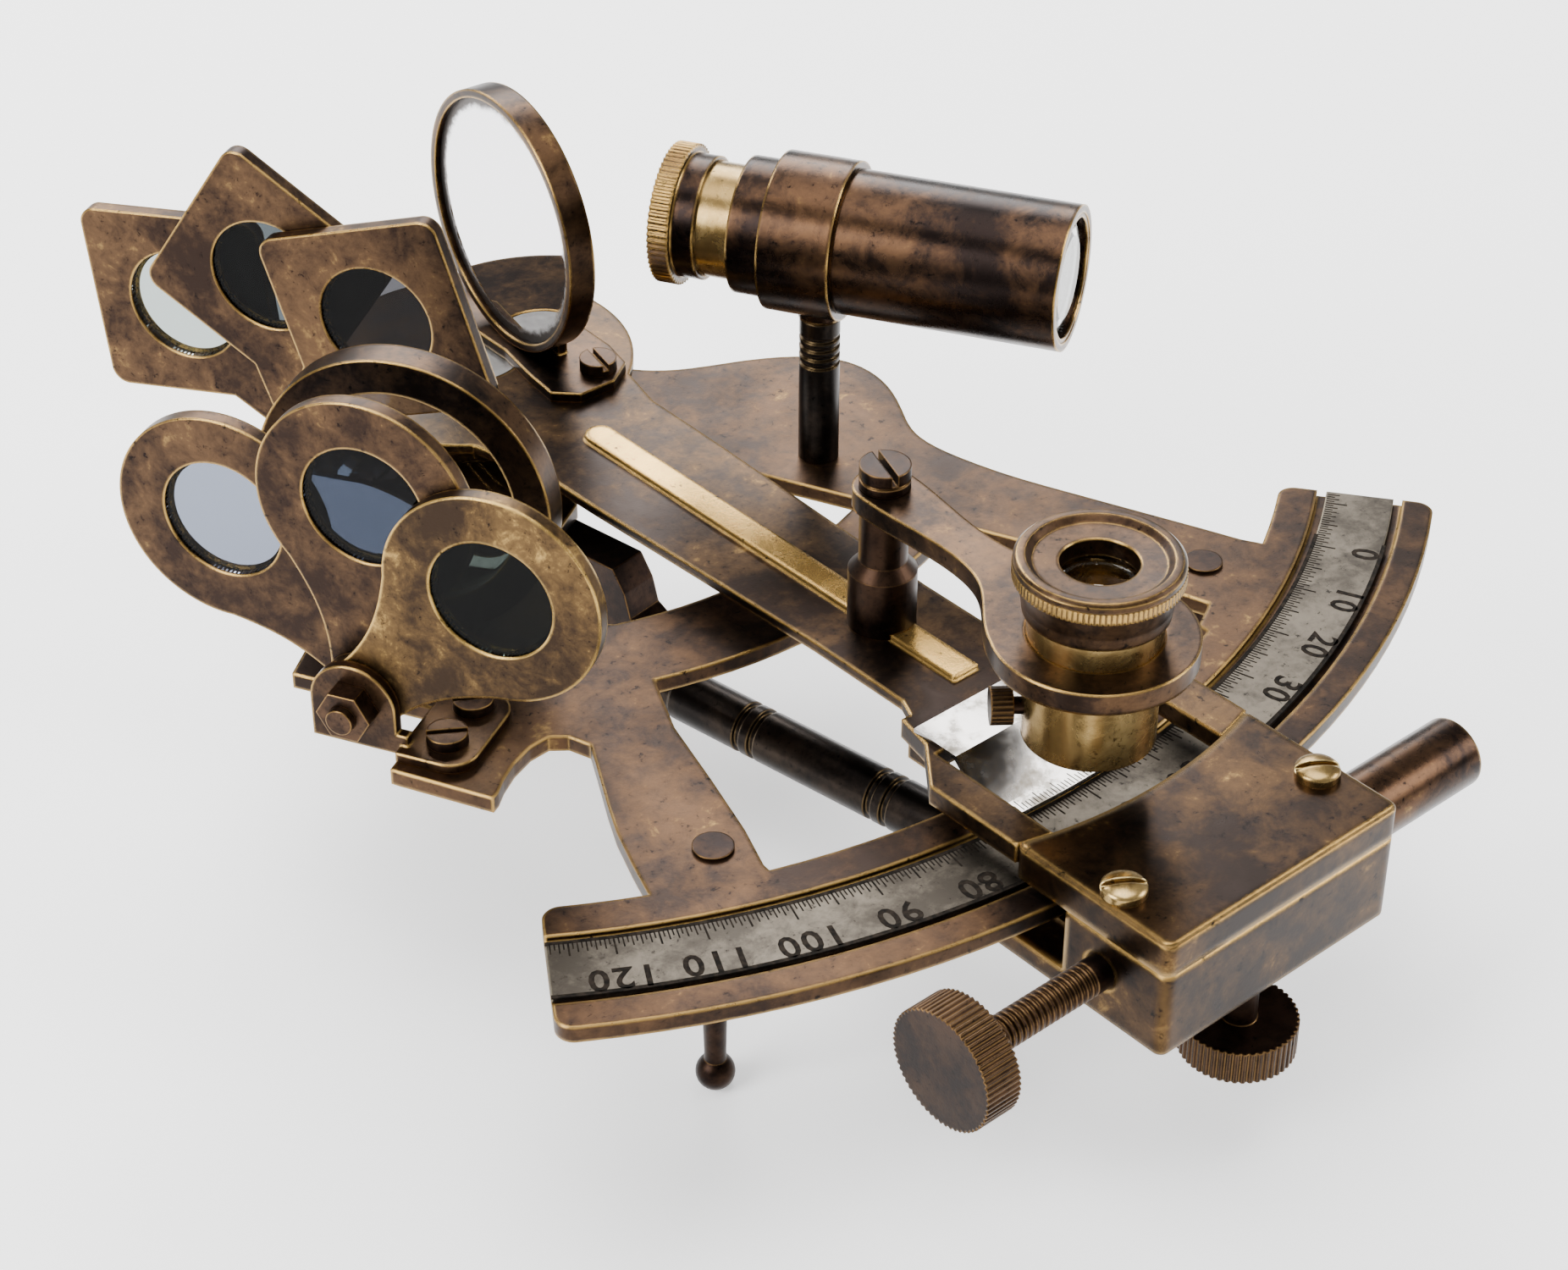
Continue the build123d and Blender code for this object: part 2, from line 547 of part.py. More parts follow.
# ---- shades ----------------------------------------------------------------------------------------
shade_thick = 2.2
shade_gap = 0.3
shade_step = shade_thick + shade_gap
shade_bolt_radius = 1.95
pivot_level = 6.4              # shade pivots above the limb's top face
bracket_thick = 1.6
filter_radius = 8.9
filter_thick = 1.4


def round_shade():
    """Round shade built flat: pivot at the origin, glass towards +Y, face at Z = 0, body below."""
    reach = 30.0
    rim = 15.8
    body = disc(0, reach, -shade_thick, rim, shade_thick)
    with BuildSketch(Plane.XY.offset(-shade_thick)) as sk:
        with BuildLine():
            Polyline((-5.2, -3.0), (5.2, -3.0), (5.4, 3.0))
            Spline((5.4, 3.0), (6.8, 10.5), (14.2, reach - 7.0), tangents=((0.05, 1.0), (0.55, 0.75)))
            Line((14.2, reach - 7.0), (-14.2, reach - 7.0))
            Spline((-14.2, reach - 7.0), (-6.8, 10.5), (-5.4, 3.0), tangents=((0.55, -0.75), (0.05, -1.0)))
            Line((-5.4, 3.0), (-5.2, -3.0))
        make_face()
    body += extrude(sk.sketch, shade_thick)
    body += disc(0, 0, -shade_thick, 6.0, shade_thick)
    return body, reach


def square_shade():
    """Square shade hung by one corner, same layout."""
    reach = 28.2
    half = 15.0
    square = Pos(0, reach, -shade_thick / 2) * Rot(0, 0, 45) * Box(2 * half, 2 * half, shade_thick)
    square = fillet(square.edges().filter_by(Axis.Z), 2.6)
    neck = [(-4.6, 0), (4.6, 0), (7.0, reach - 10.5), (-7.0, reach - 10.5)]
    body = square + plate(neck, -shade_thick, shade_thick) + disc(0, 0, -shade_thick, 5.4, shade_thick)
    return body, reach


def glazed(body, reach):
    """Cut the pivot hole and the stepped seat; return the frame and its dark glass."""
    body = body - disc(0, 0, -9, shade_bolt_radius + run_fit, 20)
    body = body - disc(0, reach, -9, filter_radius - 0.5, 20)
    body = body - disc(0, reach, -0.4 - filter_thick, filter_radius, 9)
    lens = disc(0, reach, -0.4 - filter_thick, filter_radius, filter_thick)
    return body, lens


round_facing = -154.2
round_front = 86.6             # front face of the nearest round shade
round_across = 24.0
round_angles = (46.1, 87.2, 136.3)
square_facing = -153.0
square_front = 33.7
square_across = -12.3
square_angles = (62.2, 101.5, 140.3)


def shade_set(shape_of, azimuth, front, across, angles):
    frames = []
    glasses = []
    for i, angle in enumerate(angles):
        body, lens = glazed(*shape_of())
        offset = front - i * shade_step
        for part, where in ((body, frames), (lens, glasses)):
            where.append(facing(Rot(0, 0, angle - 90) * part, azimuth, offset, across, top + pivot_level))
    return frames, glasses


def shade_mount(azimuth, front, across, base_in, base_out, base_far, eye):
    """Bracket, bolt, hex nut and washers of a shade stack."""
    face = front + gap
    up = level_box(azimuth, face, face + bracket_thick, across - eye, across + eye, top, top + pivot_level)
    up += facing(rod(eye, bracket_thick), azimuth, face, across, top + pivot_level)
    low = level_box(azimuth, face - 0.2, face + bracket_thick, across - eye - 1, across + base_far, top - 10, top)
    base = level_box(azimuth, base_in, face + 3.4, across + base_out, across + base_far, top, top + bracket_thick)
    corners = base.edges().filter_by(Axis.Z).sort_by(lambda e: e.center().dot(Vector(*level_point(azimuth, 0, 1), 0)))
    base = fillet(corners[-2:], 4.0)
    bridge = level_box(azimuth, face, face + bracket_thick, across, across + base_out + 1.0, top, top + 3.2)
    bracket = up + base + bridge - low
    bore = facing(Pos(0, 0, -30) * rod(shade_bolt_radius + run_fit, 60), azimuth, face, across, top + pivot_level)
    bracket -= bore
    back = front - 3 * shade_step - 0.1
    nut_face = face + bracket_thick
    shank = rod(shade_bolt_radius, nut_face + 4.2 - back)
    head = Pos(0, 0, -2.2) * rod(3.4, 2.3) - Pos(0, 0, -2.4) * Box(9, 0.9, 1.2)
    bolt = facing(shank + head, azimuth, back, across, top + pivot_level)
    nut = extrude(RegularPolygon(3.5, 6, major_radius=False), 3.0)
    nut -= Pos(0, 0, -1) * rod(shade_bolt_radius, 9)
    nut = facing(nut, azimuth, nut_face, across, top + pivot_level)
    washers = []
    for i in range(1, 3):
        ring = Pos(0, 0, 0.05) * (rod(4.6, shade_gap - 0.1) - Pos(0, 0, -1) * rod(shade_bolt_radius, 3))
        washers.append(facing(ring, azimuth, front - i * shade_step, across, top + pivot_level))
    return bracket, bolt, nut, washers


round_frames, round_glasses = shade_set(round_shade, round_facing, round_front, round_across, round_angles)
square_frames, square_glasses = shade_set(square_shade, square_facing, square_front, square_across, square_angles)
round_bracket, round_bolt, round_nut, round_washers = shade_mount(
    round_facing, round_front, round_across, 73.0, 7.0, 17.6, 6.4)
square_bracket, square_bolt, square_nut, square_washers = shade_mount(
    square_facing, square_front, square_across, 26.2, 6.2, 16.6, 5.6)
round_screws = []
for d, h in ((85.2, 36.4), (77.0, 36.4)):
    sx, sy = level_point(round_facing, d, h)
    round_screws.append(slotted(sx, sy, top + bracket_thick, 2.9, 1.7, 1.3, bracket_thick + plate_thick - 0.3, -35))
    round_bracket -= disc(sx, sy, top - 1, 1.3, 20)
    frame -= disc(sx, sy, plate_low - 1, 1.3, 20)
square_screws = []
for d, h in ((34.2, -1.0), (29.2, -1.0)):
    sx, sy = level_point(square_facing, d, h)
    square_screws.append(slotted(sx, sy, top + bracket_thick, 2.2, 1.5, 1.1, bracket_thick + plate_thick - 0.3, 25))
    square_bracket -= disc(sx, sy, top - 1, 1.1, 20)
    frame -= disc(sx, sy, plate_low - 1, 1.1, 20)

# ---- telescope on its threaded post ----------------------------------------------------------------
scope_angle = -61.35
scope_level = top + 38.2
scope_post_along = 56.9
scope_post_radius = 3.1
holder_radius = 11.9
holder_from = 50.6
holder_to = 61.6
body_radius = 10.8
scope_end = 95.2
draw_radius = 8.6
holder_bottom = scope_level - holder_radius


def scope(shape, at):
    x, y = polar(at, scope_angle)
    return lying(shape, scope_angle, x, y, scope_level)


px, py = polar(scope_post_along, scope_angle)
scope_post = disc(px, py, plate_low, 2.2, 4.0)
scope_post += disc(px, py, top, scope_post_radius, holder_bottom - 1.6 - top)
scope_post += disc(px, py, holder_bottom - 1.8, 2.0, 3.0)
for i in range(4):
    scope_post -= tube(px, py, holder_bottom - 9.5 + i * 1.5, 6.0, scope_post_radius - 0.4, 0.7)
frame -= disc(px, py, plate_low - 1, 2.2, 10)

holder = scope(rod(holder_radius, holder_to - holder_from), holder_from)
holder += disc(px, py, holder_bottom - 1.4, 3.3, 4.0)
holder -= scope(rod(body_radius - 0.5, 40), holder_from - 10)
holder -= disc(px, py, holder_bottom - 3.0, 2.0 + run_fit, 6.4)

bore_radius = 9.6
main_tube = scope(rod(body_radius, scope_end - holder_to), holder_to)
main_tube += scope(rod(body_radius - 0.5, holder_to - holder_from + 5.4), holder_from - 5.2)
main_tube += scope(rod(10.3, 5.2), holder_from - 5.2)
main_tube -= scope(rod(bore_radius, 60), 47.5)
main_tube -= scope(rod(draw_radius + run_fit, 60), 40)
lens_seat = scope_end - 3.2
objective = rod(bore_radius, 2.0) + Pos(0, 0, 1.0) * scale(Sphere(bore_radius - 0.5), (1, 1, 0.24))
objective = scope(objective - Pos(0, 0, -9) * rod(20, 9), lens_seat)
retainer = scope(rod(bore_radius, 0.5) - Pos(0, 0, -1) * rod(bore_radius - 0.7, 4), scope_end - 0.6)
objective &= scope(rod(bore_radius, 2.6), lens_seat)
stop_ring = scope(rod(bore_radius, 1.5) - Pos(0, 0, -1) * rod(bore_radius - 1.3, 4), lens_seat - 1.5)

draw_tube = scope(rod(draw_radius, 17.0) - Pos(0, 0, -1) * rod(draw_radius - 0.9, 30), 38.0)
eye_cell = scope(rod(9.3, 3.6), 36.4)
eye_cell += scope(knurled(10.6, 3.2, 64, 0.5), 33.3)
eye_cell -= scope(rod(draw_radius, 3.0), 38.0)
eye_cell -= scope(rod(6.6, 9.0), 35.0)
eye_cell -= scope(rod(3.6, 9.0), 32.0)
eye_lens = scope(rod(6.6, 1.8), 35.0)

# ---- handle under the frame ------------------------------------------------------------------------
handle_angle = -82.5
handle_x = -9.8
handle_y = -57.5
handle_level = top - 22.0
handle_radius = 4.0
handle_long = 61.0


def handle_plate(points, thick):
    """Upright plate in the handle's own vertical plane: points are (along, height above the limb)."""
    with BuildSketch(Plane.XZ.offset(-thick / 2)) as sk:
        with BuildLine():
            Polyline(*points, close=True)
        make_face()
    shape = extrude(sk.sketch, thick)
    return Pos(handle_x, handle_y, top) * Rot(0, 0, handle_angle) * shape


handle_profile = [(0, 0), (3.4, 0), (3.4, 2.0), (handle_radius, 2.6)]
for at in (15.6, 18.4, 40.4, 43.2):
    handle_profile += [(handle_radius, at - 0.6), (handle_radius - 0.7, at - 0.5),
                       (handle_radius - 0.7, at + 0.5), (handle_radius, at + 0.6)]
handle_profile += [(handle_radius, handle_long - 2.6), (3.4, handle_long - 2.0), (3.4, handle_long),
                   (0, handle_long)]
handle = lying(lathe(handle_profile), handle_angle, handle_x, handle_y, handle_level)
tenon = lying(Pos(0, 0, -3.0) * rod(1.8, handle_long + 6.0), handle_angle, handle_x, handle_y, handle_level)
handle += tenon
front_bracket = handle_plate([(-50.0, -plate_thick), (-8.5, -plate_thick), (-6.3, -6.0), (-5.2, -10.0), (-1.2, -12.5), (0.0, -15.5),
                              (0.0, -27.0), (-8.5, -27.0), (-12.0, -21.0), (-14.2, -15.5), (-15.9, -10.0),
                              (-18.0, -6.2), (-22.0, -5.2), (-50.0, -5.2)], 6.4)
rear_bracket = handle_plate([(handle_long, -27.0), (handle_long, -15.5), (handle_long + 2.5, -9.0),
                             (handle_long + 4.0, -5.0), (handle_long + 5.0, -plate_thick), (handle_long + 15.0, -plate_thick),
                             (handle_long + 15.0, -5.0), (handle_long + 10.5, -6.0), (handle_long + 8.0, -12.0),
                             (handle_long + 7.0, -20.0), (handle_long + 6.0, -27.0)], 6.4)
front_bracket -= tenon
rear_bracket -= tenon

# ---- export ----------------------------------------------------------------------------------------
turn_arm = Rot(0, 0, arm_angle)
save("frame_plate", frame)
save("scale_strip", strip)
save("limb_and_hub_feet", feet + [hub_foot])
save("hub_bearing", bearing)
save("pivot_pin", pivot_pin)
save("handle_rod", handle)
save("handle_brackets", [front_bracket, rear_bracket])
save("horizon_base", horizon_pad)
save("horizon_ring", horizon_ring)
save("horizon_glass_clear", clear_pane)
save("horizon_glass_silvered", silver_pane)
save("horizon_retaining_ring", spring_ring)
save("shade_brackets", [round_bracket, square_bracket])
save("shade_bolts", [round_bolt, square_bolt])
save("shade_nuts", [round_nut, square_nut])
save("shade_washers", round_washers + square_washers)
save("frame_screws", pad_screws + round_screws + square_screws)
for i in range(3):
    save("round_shade_" + "abc"[i], round_frames[i])
    save("round_shade_glass_" + "abc"[i], round_glasses[i])
    save("square_shade_" + "abc"[i], square_frames[i])
    save("square_shade_glass_" + "abc"[i], square_glasses[i])
save("telescope_post", scope_post)
save("telescope_holder", holder)
save("telescope_tube", main_tube)
save("objective_lens", objective)
save("objective_rings", [retainer, stop_ring])
save("draw_tube", draw_tube)
save("eyepiece_cell", eye_cell)
save("eye_lens", eye_lens)
save("index_arm", arm_world)
save("vernier_plate", turn_arm * vernier)
save("vernier_rivets", [turn_arm * r for r in vernier_rivets])
save("index_mirror_base", mirror_base)
save("index_mirror_screws", base_screws)
save("index_mirror_rim", index_rim)
save("index_mirror_glass", index_glass)
turn_carriage = turn_arm * Pos(0, carriage_shift, 0)
save("clamp_box", turn_carriage * box)
save("clamp_box_cover", turn_carriage * cover)
save("cover_screws", [turn_carriage * s for s in cover_screws])
save("spring_barrel", turn_carriage * barrel)
save("barrel_spring", turn_carriage * spring)
save("spring_plunger", turn_carriage * plunger)
save("clamp_block", turn_carriage * block)
save("clamp_screw", turn_carriage * clamp)
save("tangent_screw", turn_carriage * tangent)
save("reader_post", turn_arm * post)
save("reader_pivot_screw", turn_arm * reader_screw)
save("reader_arm", turn_arm * reader_arm)
save("reader_tube", turn_arm * lens_tube)
save("reader_eyepiece", turn_arm * eyepiece)
save("reader_lens", turn_arm * reader_lens)
save("reader_set_screw", turn_arm * set_screw)
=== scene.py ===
"""Brass vernier sextant standing on its three feet, dressed piece by piece in the order it goes together."""
import math
import random
import bmesh
import bpy
from mathutils import Matrix, Vector


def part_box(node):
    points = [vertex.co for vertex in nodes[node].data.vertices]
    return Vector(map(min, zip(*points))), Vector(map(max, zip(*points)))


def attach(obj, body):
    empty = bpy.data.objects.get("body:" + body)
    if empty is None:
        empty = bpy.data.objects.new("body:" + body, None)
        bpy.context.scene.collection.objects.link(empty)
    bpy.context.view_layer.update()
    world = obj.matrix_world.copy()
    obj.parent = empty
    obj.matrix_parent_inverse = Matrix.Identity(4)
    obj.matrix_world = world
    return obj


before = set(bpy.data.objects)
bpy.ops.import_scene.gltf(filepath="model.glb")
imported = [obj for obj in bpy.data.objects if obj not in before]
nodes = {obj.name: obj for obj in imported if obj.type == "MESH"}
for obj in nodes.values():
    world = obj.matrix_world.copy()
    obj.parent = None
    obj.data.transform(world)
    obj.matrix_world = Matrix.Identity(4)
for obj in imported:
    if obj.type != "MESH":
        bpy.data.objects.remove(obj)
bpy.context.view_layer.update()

# ---- The table the sextant stands on -------------------------------------------------------------
# A wide, plain, nearly white board under soft studio lamps.  It is only the setting, and it reaches
# far enough to fill the view behind the instrument.
board_reach = 4.0
board_mesh = bpy.data.meshes.new("table_board")
board_mesh.from_pydata([(-board_reach, -board_reach, 0), (board_reach, -board_reach, 0),
                        (board_reach, board_reach, 0), (-board_reach, board_reach, 0)], [], [(0, 1, 2, 3)])
board = bpy.data.objects.new("table_board", board_mesh)
bpy.context.scene.collection.objects.link(board)
board_white = bpy.data.materials.new("board_white")
board_white.use_nodes = True
board_paint = board_white.node_tree.nodes["Principled BSDF"]
board_paint.inputs["Base Color"].default_value = (0.93, 0.93, 0.93, 1)
board_paint.inputs["Roughness"].default_value = 0.8
board_paint.inputs["Specular IOR Level"].default_value = 0.1
board_paint.inputs["Emission Color"].default_value = (1.0, 1.0, 1.0, 1)
board_paint.inputs["Emission Strength"].default_value = 0.62
board_mesh.materials.append(board_white)

sky = bpy.data.worlds.new("studio")
bpy.context.scene.world = sky
sky.use_nodes = True
sky.node_tree.nodes["Background"].inputs["Color"].default_value = (1.0, 1.0, 1.0, 1)
sky.node_tree.nodes["Background"].inputs["Strength"].default_value = 0.5

look_at = Vector((-0.005, -0.075, 0.05))


def softbox(name, place, wide, high, watts):
    lamp = bpy.data.lights.new(name, "AREA")
    lamp.shape = "RECTANGLE"
    lamp.size = wide
    lamp.size_y = high
    lamp.energy = watts
    holder = bpy.data.objects.new(name, lamp)
    holder.location = place
    holder.rotation_euler = (look_at - Vector(place)).to_track_quat("-Z", "Y").to_euler()
    bpy.context.scene.collection.objects.link(holder)


softbox("lamp_back", (0.35, 0.75, 0.75), 1.1, 0.6, 24)
softbox("lamp_left", (-0.95, 0.05, 0.65), 0.6, 0.6, 15)
softbox("lamp_right", (0.75, -0.75, 0.55), 0.5, 0.5, 8)
softbox("lamp_top", (0.0, -0.1, 1.2), 0.9, 0.9, 14)

camera_data = bpy.data.cameras.new("view")
camera_data.sensor_width = 36.0
camera_data.lens = 78.76
camera_data.shift_x = 0.00697
camera_data.shift_y = -0.00111
camera_data.clip_start = 0.02
camera = bpy.data.objects.new("view", camera_data)
view_right = Vector((0.734872, -0.678201, 0.002398))
view_up = Vector((0.396254, 0.43223, 0.810037))
view_back = Vector((-0.550404, -0.594324, 0.586374))
camera.matrix_world = Matrix((
    (view_right.x, view_up.x, view_back.x, -0.279523),
    (view_right.y, view_up.y, view_back.y, -0.371093),
    (view_right.z, view_up.z, view_back.z, 0.329673),
    (0, 0, 0, 1)))
bpy.context.scene.collection.objects.link(camera)
bpy.context.scene.camera = camera

# ---- Frame plate ---------------------------------------------------------------------------------
# One casting of brass, filed flat, then darkened all over with a brown chemical patina that has
# rubbed through to yellow metal along the edges.  It carries everything else.


class Wire:
    """One socket of a finish's shader; sums written on it add the nodes that work them out."""

    def __init__(self, tree, socket=None):
        self.tree = tree
        self.socket = socket

    def node(self, kind, settings=None, inputs=None, output=0):
        made = self.tree.nodes.new(kind)
        for name, value in (settings or {}).items():
            setattr(made, name, value)
        for key, value in (inputs or {}).items():
            if isinstance(value, Wire):
                self.tree.links.new(value.socket, made.inputs[key])
            else:
                made.inputs[key].default_value = value
        return None if output is None else Wire(self.tree, made.outputs[output])

    def sum(self, operation, first, second):
        kinds = [v.socket.type for v in (first, second) if isinstance(v, Wire)]
        if "VECTOR" in kinds:
            return self.node("ShaderNodeVectorMath", {"operation": operation}, {0: first, 1: second})
        return self.node("ShaderNodeMath", {"operation": operation}, {0: first, 1: second})

    def __add__(self, other):
        return self.sum("ADD", self, other)

    def __radd__(self, other):
        return self.sum("ADD", other, self)

    def __sub__(self, other):
        return self.sum("SUBTRACT", self, other)

    def __rsub__(self, other):
        return self.sum("SUBTRACT", other, self)

    def __mul__(self, other):
        return self.sum("MULTIPLY", self, other)

    def __rmul__(self, other):
        return self.sum("MULTIPLY", other, self)

    def larger(self, other):
        return self.sum("MAXIMUM", self, other)

    def between(self, low, high):
        """0 below low, 1 above high, smooth in between."""
        return self.node("ShaderNodeMapRange", {"interpolation_type": "SMOOTHSTEP"},
                         {"Value": self, "From Min": low, "From Max": high})

    def blend(self, first, second):
        """This value as the share of the second colour over the first."""
        return self.node("ShaderNodeMix", {"data_type": "RGBA"}, {0: self, 6: first, 7: second}, 2)

    def noise(self, scale, detail=3.0, rough=0.55, twist=0.0):
        return self.node("ShaderNodeTexNoise", {}, {"Vector": self, "Scale": scale, "Detail": detail,
                                                    "Roughness": rough, "Distortion": twist})


def new_finish(name):
    """An empty finish: its material, a wire to start from, and the place on the piece in metres."""
    material = bpy.data.materials.new(name)
    material.use_nodes = True
    material.node_tree.nodes.clear()
    start = Wire(material.node_tree)
    place = start.node("ShaderNodeTexCoord", {}, {}, "Object")
    return material, start, place


def close_finish(start, sockets):
    surface = start.node("ShaderNodeBsdfPrincipled", {}, sockets)
    start.node("ShaderNodeOutputMaterial", {}, {"Surface": surface}, None)


def worn_edge(start, reach):
    """1 on sharp edges, falling to 0 over the reach on both sides."""
    rounded = start.node("ShaderNodeBevel", {"samples": 6}, {"Radius": reach})
    flat = start.node("ShaderNodeNewGeometry", {}, {}, "Normal")
    along = start.node("ShaderNodeVectorMath", {"operation": "DOT_PRODUCT"}, {0: rounded, 1: flat}, "Value")
    return 1 - along, rounded


def patina(name, dark, brown, gold, wear=0.5, edge=0.0007, rough=0.36, patch=110.0, pits=0.12, rub_and_highlight_heights=None):
    """Darkened brass: fine dark and brown clouds, gold where it is rubbed, edges worn bright, fine pits.

    rub_and_highlight_heights is a pair of heights in metres between which the finish turns to gold: rubbed
    wear on the raised top, and a painted highlight there too."""
    material, start, place = new_finish(name)
    broad = place.noise(patch * 0.45, 4.0, 0.6, 0.4)
    clouds = (place + (0.12, 0.33, 0.21)).noise(patch * 2.2, 6.0, 0.68, 0.5)
    blots = (place + (0.31, 0.17, 0.05)).noise(patch * 7.0, 5.0, 0.7, 0.2)
    grain = (place + (0.07, 0.41, 0.23)).noise(2600.0, 2.0, 0.5)
    bend, rounded = worn_edge(start, edge)
    shade = (broad * 0.5 + clouds * 0.35 + blots * 0.15).between(0.41, 0.61)
    colour = shade.blend(dark + (1,), brown + (1,))
    rub = broad * 0.3 + clouds * 0.45 + blots * 0.25
    rub = rub.between(0.64 - 0.12 * wear, 0.80 - 0.12 * wear) * (0.75 * wear)
    edge_rub = (bend * (0.4 + clouds * 1.5)).between(0.015, 0.16) * (1.5 * wear)
    share = rub.larger(edge_rub)
    # Gold by height on raised tops: partly rubbed wear, partly a painted highlight.
    if rub_and_highlight_heights:
        height = start.node("ShaderNodeSeparateXYZ", {}, {"Vector": place}, "Z")
        share = share.larger(height.between(*rub_and_highlight_heights) * (0.35 + clouds * 0.9))
    share = start.node("ShaderNodeClamp", {}, {"Value": share})
    colour = share.blend(colour, gold + (1,))
    colour = blots.between(0.31, 0.40).blend(tuple(0.35 * v for v in dark) + (1,), colour)
    finish_rough = rough + 0.25 * (clouds - 0.5) + 0.12 * (0.5 - share)
    bump = start.node("ShaderNodeBump", {}, {"Strength": pits, "Distance": 0.0002,
                                             "Height": grain * 0.4 + blots * 0.7, "Normal": rounded})
    close_finish(start, {"Base Color": colour, "Metallic": 0.95, "Roughness": finish_rough, "Normal": bump})
    return material


def dress(material, *names):
    for name in names:
        for slot in nodes[name].material_slots:
            slot.material = material


dark_brown = (0.017, 0.010, 0.007)
mid_brown = (0.070, 0.037, 0.018)
rubbed_gold = (0.560, 0.345, 0.100)
plate_patina = patina(
    "frame_patina", dark_brown, mid_brown, rubbed_gold,
    wear=0.6, edge=0.0009, rough=0.34, patch=100.0, pits=0.12)
dress(plate_patina, "frame_plate")

# ---- Divided scale on the limb -------------------------------------------------------------------
# A silvered strip let into the limb between two cut grooves, gone grey-brown with age.  There is a line
# for every half degree of the reading, and the figures are punched by hand and filled with black.
limb_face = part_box("scale_strip")[1].z
zero_direction = -61.25
inner_line = 0.1339


def reading_direction(reading):
    return math.radians(zero_direction - reading / 2)


def spot(radius, angle, height):
    return Vector((radius * math.cos(angle), radius * math.sin(angle), height))


def fine_line(out, angle, inner, outer, half_wide, height):
    """Thin flat bar along a radius of the limb, added to a list of quads."""
    along = Vector((math.cos(angle), math.sin(angle), 0))
    across = Vector((-along.y, along.x, 0)) * half_wide
    out.append([spot(inner, angle, height) - across, spot(outer, angle, height) - across,
                spot(outer, angle, height) + across, spot(inner, angle, height) + across])


def inlay(name, quads, depth, body, material):
    """Solid bars raised from flat quads, as one piece that rides on a body."""
    mesh = bmesh.new()
    for quad in quads:
        low = [mesh.verts.new(p - Vector((0, 0, depth))) for p in quad]
        high = [mesh.verts.new(p) for p in quad]
        mesh.faces.new(high)
        mesh.faces.new(low[::-1])
        for i in range(4):
            mesh.faces.new((low[i], low[(i + 1) % 4], high[(i + 1) % 4], high[i]))
    data = bpy.data.meshes.new(name)
    mesh.to_mesh(data)
    mesh.free()
    data.materials.append(material)
    piece = bpy.data.objects.new(name, data)
    bpy.context.scene.collection.objects.link(piece)
    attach(piece, body)
    return piece


scale_metal = patina(
    "aged_silvering", (0.045, 0.038, 0.030), (0.140, 0.120, 0.094), (0.38, 0.32, 0.21),
    wear=0.4, edge=0.0004, rough=0.45, patch=120.0, pits=0.08)
dress(scale_metal, "scale_strip")

cut_black, cut_start, cut_place = new_finish("line_black")
cut_fill = cut_place.noise(900.0, 3.0).between(0.35, 0.7)
close_finish(cut_start, {"Base Color": cut_fill.blend((0.004, 0.003, 0.002, 1), (0.018, 0.013, 0.009, 1)),
                         "Roughness": 0.85, "Specular IOR Level": 0.1})
proud = 0.00003
marks = []
for half in range(-24, 255):
    reading = half / 2
    reach = 0.0034 if half % 20 == 0 else 0.0027 if half % 10 == 0 else 0.0021 if half % 2 == 0 else 0.0014
    fine_line(marks, reading_direction(reading), inner_line + 0.0002, inner_line + reach,
              0.00013 if half % 10 == 0 else 0.0001, limb_face + proud)
inlay("scale_lines", marks, 0.0003, "frame", cut_black)
grooves = []
groove_half = 0.0003
outer_line = 0.1440
for step in range(-5, 255):
    first = reading_direction(step / 2)
    second = reading_direction(step / 2 + 0.5)
    for radius in (inner_line, outer_line):
        corners = ((radius + groove_half, first), (radius + groove_half, second),
                   (radius - groove_half, second), (radius - groove_half, first))
        grooves.append([spot(at, angle, limb_face + proud) for at, angle in corners])
inlay("scale_grooves", grooves, 0.0002, "frame", cut_black)

random.seed(7)
figure_high = 0.0040
figure_radius = 0.14175


def punched(name, text, place_at, turn, high, body, height):
    """Figures punched one by one: a little uneven in line and depth."""
    words = bpy.data.curves.new(name, "FONT")
    words.body = text
    words.align_x = "CENTER"
    words.align_y = "CENTER"
    words.size = high * 1.4
    words.space_character = 1.12
    words.extrude = 0.0002
    words.offset = 0.0001
    words.resolution_u = 3
    loose = bpy.data.objects.new(name + "_pattern", words)
    bpy.context.scene.collection.objects.link(loose)
    bpy.context.view_layer.update()
    data = bpy.data.meshes.new_from_object(loose)
    bpy.data.objects.remove(loose)
    data.name = name
    stand = Matrix.Translation(place_at + Vector((0, 0, height - 0.0002)))
    data.transform(stand @ Matrix.Rotation(turn, 4, "Z"))
    data.materials.clear()
    data.materials.append(cut_black)
    piece = bpy.data.objects.new(name, data)
    bpy.context.scene.collection.objects.link(piece)
    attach(piece, body)
    return piece


for tens in range(0, 121, 10):
    angle = reading_direction(tens) + random.uniform(-0.0012, 0.0012)
    punched("figure_%d" % tens, str(tens), spot(figure_radius + random.uniform(-0.0003, 0.0003), angle, 0),
            angle - math.pi / 2 + random.uniform(-0.05, 0.05), figure_high, "frame", limb_face + proud)

